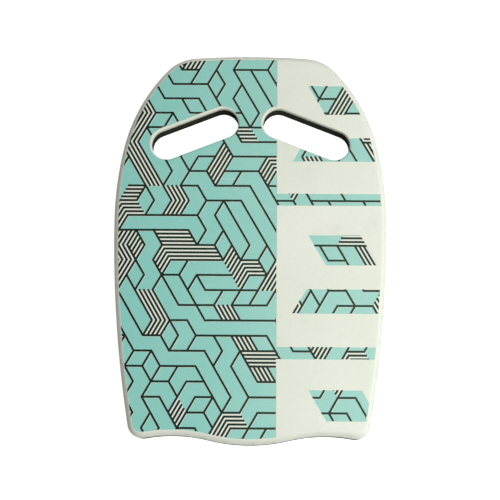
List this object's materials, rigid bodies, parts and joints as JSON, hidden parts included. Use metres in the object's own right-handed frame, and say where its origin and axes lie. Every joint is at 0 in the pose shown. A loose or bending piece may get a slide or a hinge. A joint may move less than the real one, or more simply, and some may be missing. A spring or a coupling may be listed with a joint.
{
  "type": "kickboard float",
  "caption": "Foam swimming kickboard with a rounded nose, a wavy tail, slanted hand slots and a geometric print on its face.",
  "frame": {"origin": "under the middle of the board, on the plane that its back rests on", "axes": "+Y from the tail to the nose, +Z out of the printed face, +X to the right of someone who looks at the print with the nose up"},
  "size_m": [0.291, 0.42, 0.0282],
  "materials": {
    "core_foam": "matt closed-cell EVA foam, cut and buffed",
    "glue": "dried contact adhesive",
    "face_foam": "smooth skinned closed-cell EVA foam",
    "colour_ink": "satin flexible screen ink",
    "line_ink": "satin flexible screen ink"
  },
  "bodies": {
    "root": {"core_slab": "core_foam", "glue_line": "glue", "face_sheet": "face_foam", "colour_print": "colour_ink", "line_print": "line_ink"}
  },
  "joints": []
}
